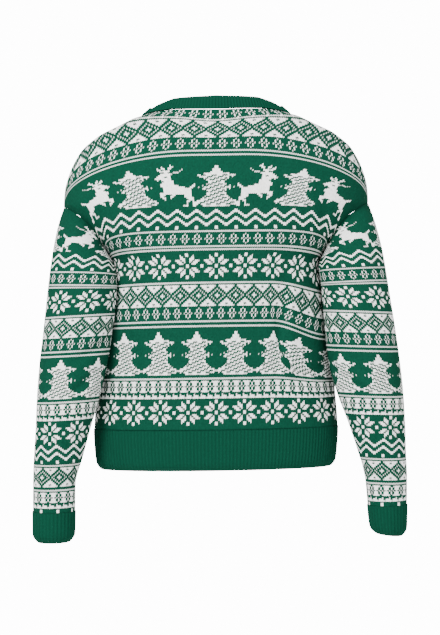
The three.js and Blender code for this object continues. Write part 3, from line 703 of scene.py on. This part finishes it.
def panel(side, material):
    """A body panel: its stitches outside and a plain lining surface behind them."""
    columns = np.arange(-HALF_PANEL, HALF_PANEL + 0.5, 0.5)
    rows = np.arange(0, TOP_ROW + 1.0)
    outside = panel_grid(side, columns, rows, STITCH_SLANT)
    stitch_middles = np.floor((columns[:-1] + columns[1:]) / 2) + 0.5
    colours = yarn_colours(pattern(BODY_BANDS, stitch_middles))
    coordinates = np.stack(np.meshgrid(columns, rows), axis=-1)
    coarse_columns = np.arange(-HALF_PANEL, HALF_PANEL + 1, 4.0)
    coarse_rows = np.append(np.arange(0, TOP_ROW, 4.0), TOP_ROW)
    inside = panel_grid(side, coarse_columns, coarse_rows, 0)
    inside = inside - LINING_DEPTH * body_normals(inside)
    lining = plain_colour((len(coarse_rows) - 1, len(coarse_columns) - 1), LINING_GREEN)
    kept = panel_kept(side, columns, rows)
    coarse_kept = panel_kept(side, coarse_columns, coarse_rows)
    coarse = np.stack(np.meshgrid(coarse_columns, coarse_rows), axis=-1)
    parts = [
        (outside, kept, colours, coordinates),
        (inside_out(inside), coarse_kept[:, ::-1], lining, coarse),
    ]
    if side == "front":
        parts = [(inside_out(p), k[:, ::-1], c[:, ::-1], inside_out(s)) for p, k, c, s in parts]
    return build_mesh(f"{side}_knit", parts, material)


def sleeve_along(side, rows, angles):
    """How far along the sleeve a row lies at each angle, and whether it's still below the armhole."""
    stations = np.linspace(SEAM_GAP, LEVEL_RING, 40)
    lines = sleeve_points(side, stations[:, None], angles[None, :])
    steps = np.linalg.norm(np.diff(lines, axis=0), axis=-1)
    above = np.concatenate([np.cumsum(steps[::-1], axis=0)[::-1], np.zeros((1, len(angles)))])
    top = CUFF_TOP[side] - SEAM_GAP / 2
    result = np.zeros((len(rows), len(angles)))
    for i, row in enumerate(rows):
        if row <= LEVEL_RING_ROW:
            result[i] = mix(top, LEVEL_RING, row / LEVEL_RING_ROW)
            continue
        far = (row - LEVEL_RING_ROW) * CAP_ROW
        for j in range(len(angles)):
            result[i, j] = np.interp(far, above[::-1, j], stations[::-1])
    return result


def sleeve_grid(side, columns, rows, inset=0.0):
    """Points of a sleeve by stitches from its outer line and rows from the cuff, and its half widths."""
    angles = SLEEVE_ANGLES + math.pi
    along = sleeve_along(side, rows, angles)
    grid = np.zeros((len(rows), len(columns), 3))
    halves = np.zeros((len(rows), 2))
    middle = len(angles) // 2
    for i in range(len(rows)):
        ring = sleeve_points(side, along[i], angles, inset)
        far = np.concatenate([[0], np.cumsum(np.linalg.norm(np.diff(ring, axis=0), axis=1))])
        out = (far[middle] - far) / read(SLEEVE_STITCHES, "row", "width", rows[i])
        halves[i] = out[0], -out[-1]
        at = np.clip(columns, out[-1], out[0])
        turn = np.interp(at, out[::-1], angles[::-1])
        grid[i] = sleeve_points(side, np.interp(turn, angles, along[i]), turn, inset)
    return grid, halves


def sleeve(side, material):
    """A sleeve: its stitches outside and a plain lining surface behind them."""
    columns = np.arange(-HALF_SLEEVE, HALF_SLEEVE + 0.5, 0.5)
    rows = np.arange(0, SLEEVE_TOP_ROW + 1.0)
    low, halves = sleeve_grid(side, columns, rows)
    high, _ = sleeve_grid(side, columns[::2], rows + STITCH_SLANT)
    outside = low.copy()
    outside[:, ::2] = high
    outside[0, ::2] = low[0, ::2]
    stitch_middles = np.floor((columns[:-1] + columns[1:]) / 2) + 0.5
    colours = yarn_colours(pattern(SLEEVE_BANDS, stitch_middles - SLEEVE_SHIFT))
    middle = (columns[:-1] + columns[1:]) / 2
    kept = (middle[None, :] < halves[:-1, :1] + 0.25) & (middle[None, :] > -halves[:-1, 1:] - 0.25)
    sizes = np.linalg.norm(np.diff(outside, axis=0), axis=-1)
    kept &= (sizes[:, :-1] > 0.02) | (sizes[:, 1:] > 0.02)
    coordinates = np.stack(np.meshgrid(columns, rows), axis=-1)
    turns = np.linspace(0, TAU, 41)
    stations = np.linspace(SEAM_GAP, CUFF_TOP[side] - SEAM_GAP / 2, 60)
    inside = sleeve_points(side, stations[:, None], turns[None, :], LINING_DEPTH)
    shape = (len(stations) - 1, len(turns) - 1)
    lining = plain_colour(shape, LINING_GREEN)
    coarse = np.stack(np.meshgrid(turns * 10, stations / ROW), axis=-1)
    parts = [(outside, kept, colours, coordinates), (inside, np.ones(shape, bool), lining, coarse)]
    if side == "left":
        parts = [(inside_out(p), k[:, ::-1], c[:, ::-1], inside_out(s)) for p, k, c, s in parts]
    return build_mesh(f"sleeve_{side}_knit", parts, material)


# A ribbed band's path across its wall: share of its height, how far out, and how much of the rib's relief
RIB_PATH = table("drop out relief", [
    *[(drop, 0, 1) for drop in np.linspace(0, 0.985, 24)],
    (0.996, -0.5, 0.8), (1, -1.2, 0.4), (0.996, -1.9, 0.1), (0.98, -2.3, 0), (0.66, -2.3, 0), (0.33, -2.3, 0),
    (0, -2.3, 0),
])
# The step of that path at which the inside starts
RIM_END = int(np.argmin(RIB_PATH["out"]))
RIB_COLUMNS = 6
RIB_ROUNDNESS = 0.8
# How much painted shade darkens the rib colour down in the valleys between the ribs
RIB_VALLEY_PAINTED_SHADE = 0.15
CUFF_HEIGHT = 51
NECKBAND_HEIGHT = 22
# The hem's and the cuffs' free edges curl in this far over this height
EDGE_CURL = 5
CURL_HEIGHT = 13


def ribbed(name, base, outward, ribs, height, curl, material, turned):
    """A ribbed band from base(share, drop), raised along outward(points, share), its edge turned in by curl."""
    share = np.linspace(0, 1, ribs * RIB_COLUMNS + 1)
    wave = (0.5 + 0.5 * np.cos(TAU * ribs * share + math.pi)) ** RIB_ROUNDNESS
    grid = []
    for drop, out, relief in zip(RIB_PATH["drop"], RIB_PATH["out"], RIB_PATH["relief"]):
        points = base(share, drop)
        turned_in = max(0, 1 - (1 - drop) * height / CURL_HEIGHT) ** 2
        lift = out + relief * RIB_RELIEF * wave * (1 - 0.7 * turned_in) - curl * turned_in
        grid.append(points + lift[:, None] * outward(points, share))
    grid = np.array(grid)
    shape = (grid.shape[0] - 1, grid.shape[1] - 1)
    rows = RIB_PATH["drop"] * height / ROW
    coordinates = np.stack(np.meshgrid(share * ribs * 2, rows), axis=-1)
    # Painted shade: the ribs' green is darker towards the valleys between them
    painted_valley_shade = 1 - RIB_VALLEY_PAINTED_SHADE * (1 - (wave[:-1] + wave[1:]) / 2)
    colour = np.array(GREEN) * painted_valley_shade[None, :, None] * np.ones((shape[0], 1, 1))
    kept = np.ones(shape, bool)
    if turned:
        grid, kept, colour, coordinates = (a[:, ::-1] for a in (grid, kept, colour, coordinates))
    outside = (grid[:RIM_END + 1], kept[:RIM_END], colour[:RIM_END], coordinates[:RIM_END + 1])
    inside = (grid[RIM_END:], kept[RIM_END:], colour[RIM_END:], coordinates[RIM_END:])
    return build_mesh(name, [outside, inside], material)


def hem_rib(side, material):
    def base(share, drop):
        edge = half_stitches(0) - EDGE_STITCHES
        points = body_points(side, mix(-edge, edge, share), SEAM_GAP / 2 / ROW)
        first = ROWS["back"]["z"][0]
        z = first - SEAM_GAP - drop * HEM_HEIGHT
        points[:, 2] = z + LEAN * points[:, 0]
        points[:, 0] *= read(SECTIONS, "z", "half", z) / read(SECTIONS, "z", "half", first)
        points[:, 1] *= read(SECTIONS, "z", side, z) / read(SECTIONS, "z", side, first)
        return points

    def outward(points, share):
        normals = body_normals(points)
        normals[:, 2] = 0
        normals[[0, -1], 1] = 0
        return normals / np.linalg.norm(normals, axis=1, keepdims=True)

    turned = side == "back"
    return ribbed(f"hem_{side}_ribs", base, outward, HEM_RIBS, HEM_HEIGHT, EDGE_CURL, material, turned)


def cuff(side, material):
    def base(share, drop):
        top = CUFF_TOP[side] + SEAM_GAP / 2
        return sleeve_points(side, mix(top, CUFF_EDGE[side], drop), share * TAU)

    def outward(points, share):
        way = points - points[:-1].mean(axis=0)
        way[:, 2] = 0
        return way / np.linalg.norm(way, axis=1, keepdims=True)

    turned = side == "right"
    return ribbed(f"cuff_{side}_ribs", base, outward, CUFF_RIBS, CUFF_HEIGHT, EDGE_CURL, material, turned)


def neckline():
    """The neckline all round, from the middle of the back to the right, the front, the left and home."""
    top = stitch_at("back", TOP_ROW, BACK_NECK["x"][-1])
    right = [body_points("back", np.linspace(0, top, 14), TOP_ROW)]
    for row in np.linspace(TOP_ROW, NECK_POINT_ROW, 14)[1:]:
        right.append(body_points("back", np.array([outer_stitch(row)]), row))
    for turn in np.linspace(0, math.pi / 2, 40)[1:]:
        row = NECK_POINT_ROW - (NECK_POINT_ROW - APEX_ROW) * math.sin(turn)
        right.append(body_points("front", np.array([inner_stitch("front", row)]), row))
    right = np.concatenate(right)
    left = right[-2:0:-1] * (-1, 1, 1)
    left[:, 2] += 2 * LEAN * left[:, 0]
    return np.concatenate([right, left, right[:1]])


def neckband(material):
    seam = neckline()
    far = np.concatenate([[0], np.cumsum(np.linalg.norm(np.diff(seam, axis=0), axis=1))])

    def base(share, drop):
        points = np.stack([np.interp(share * far[-1], far, seam[:, k]) for k in range(3)], axis=-1)
        inward = np.stack([-points[:, 0], NECK_MIDDLE_Y - points[:, 1], 0 * share], axis=-1)
        turn = np.abs(np.arctan2(points[:, 0], NECK_MIDDLE_Y - points[:, 1])) / math.pi
        inward /= np.linalg.norm(inward, axis=1, keepdims=True)
        lean = np.radians(read(NECKBAND, "turn", "lean", turn))
        reach = NECK_GAP + drop * read(NECKBAND, "turn", "reach", turn)
        points += inward * (reach * np.sin(lean))[:, None]
        points[:, 2] += reach * np.cos(lean)
        return points

    def outward(points, share):
        return np.array([rise_of(base, s) for s in share])

    def rise_of(base, s):
        at = np.array([s - 0.002, s + 0.002]) % 1
        low, high = base(at, 0.2), base(at, 0.8)
        way = np.cross(low[1] - low[0], high.mean(axis=0) - low.mean(axis=0))
        return way / np.linalg.norm(way)

    return ribbed("neckband_ribs", base, outward, NECKBAND_RIBS, NECKBAND_HEIGHT, 0, material, False)


def knit_material():
    """Wool knit: each stitch's two legs raised, by the stitch coordinates, over the yarn's own colour."""
    material = bpy.data.materials.new("knit")
    material.use_nodes = True
    nodes, links = material.node_tree.nodes, material.node_tree.links
    shader = nodes["Principled BSDF"]
    shader.inputs["Roughness"].default_value = 0.9
    shader.inputs["Specular IOR Level"].default_value = 0.02
    yarn = nodes.new("ShaderNodeAttribute")
    yarn.attribute_name = "yarn"
    links.new(yarn.outputs["Color"], shader.inputs["Base Color"])
    place = nodes.new("ShaderNodeUVMap")
    place.uv_map = "stitches"
    split = nodes.new("ShaderNodeSeparateXYZ")
    links.new(place.outputs["UV"], split.inputs["Vector"])

    def wave(socket, speed):
        times = nodes.new("ShaderNodeMath")
        times.operation = "MULTIPLY"
        times.inputs[1].default_value = speed
        links.new(socket, times.inputs[0])
        sine = nodes.new("ShaderNodeMath")
        sine.operation = "SINE"
        links.new(times.outputs[0], sine.inputs[0])
        size = nodes.new("ShaderNodeMath")
        size.operation = "ABSOLUTE"
        links.new(sine.outputs[0], size.inputs[0])
        return size.outputs[0]

    height = nodes.new("ShaderNodeMath")
    height.operation = "MULTIPLY"
    links.new(wave(split.outputs["X"], TAU), height.inputs[0])
    links.new(wave(split.outputs["Y"], math.pi), height.inputs[1])
    bump = nodes.new("ShaderNodeBump")
    bump.inputs["Strength"].default_value = 0.6
    bump.inputs["Distance"].default_value = 0.0006
    links.new(height.outputs[0], bump.inputs["Height"])
    links.new(bump.outputs["Normal"], shader.inputs["Normal"])
    return material


def area_light(name, place, target, size, power):
    light = bpy.data.lights.new(name, "AREA")
    light.shape = "DISK"
    light.size = size
    light.energy = power
    obj = bpy.data.objects.new(name, light)
    obj.location = place
    obj.rotation_euler = (Vector(target) - Vector(place)).to_track_quat("-Z", "Y").to_euler()
    bpy.context.scene.collection.objects.link(obj)


def camera():
    """A level view of the back, as in the photograph."""
    data = bpy.data.cameras.new("camera")
    data.lens = 100
    data.sensor_width = 36
    obj = bpy.data.objects.new("camera", data)
    obj.location = (0.0065, -2.875, -0.330)
    obj.rotation_euler = (math.pi / 2, 0, 0)
    bpy.context.scene.collection.objects.link(obj)
    bpy.context.scene.camera = obj


def floor():
    """A plain pale floor, well below the garment."""
    material = bpy.data.materials.new("floor")
    material.use_nodes = True
    shader = material.node_tree.nodes["Principled BSDF"]
    shader.inputs["Base Color"].default_value = (*FLOOR_GREY, 1)
    shader.inputs["Roughness"].default_value = 0.9
    bpy.ops.mesh.primitive_circle_add(vertices=96, radius=1.9, fill_type="NGON", location=(0, 0, -1.2))
    disc = bpy.context.object
    disc.name = "floor"
    disc.data.materials.append(material)


def backdrop():
    """A bright white wall far behind the garment."""
    material = bpy.data.materials.new("backdrop")
    material.use_nodes = True
    shader = material.node_tree.nodes["Principled BSDF"]
    shader.inputs["Base Color"].default_value = (0, 0, 0, 1)
    shader.inputs["Emission Color"].default_value = (1, 1, 1, 1)
    shader.inputs["Emission Strength"].default_value = BACKDROP_GLOW
    bpy.ops.mesh.primitive_plane_add(size=7, location=(0, 5.5, 0), rotation=(math.pi / 2, 0, 0))
    wall = bpy.context.object
    wall.name = "backdrop"
    wall.data.materials.append(material)
    wall.visible_diffuse = False
    wall.visible_glossy = False


def world():
    sky = bpy.data.worlds.new("world")
    sky.use_nodes = True
    sky.node_tree.nodes["Background"].inputs["Color"].default_value = (1, 1, 1, 1)
    sky.node_tree.nodes["Background"].inputs["Strength"].default_value = 1.35
    bpy.context.scene.world = sky


camera()
world()
floor()
backdrop()
area_light("key", (-1.5, -2.3, 1.3), (0, 0, -0.3), 1.2, 190)
area_light("fill", (1.6, -2.2, 0.2), (0, 0, -0.35), 1.6, 35)

knit = knit_material()
body = {side: panel(side, knit) for side in ("back", "front")}
hems = {side: hem_rib(side, knit) for side in ("back", "front")}
arms = {side: sleeve(side, knit) for side in ("left", "right")}
cuffs = {side: cuff(side, knit) for side in ("left", "right")}
collar = neckband(knit)
for side in ("back", "front"):
    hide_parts(side)
    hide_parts(f"hem_rib_{side}")
for side in ("left", "right"):
    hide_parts(f"sleeve_{side}")
    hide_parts(f"cuff_{side}")
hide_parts("neckband")
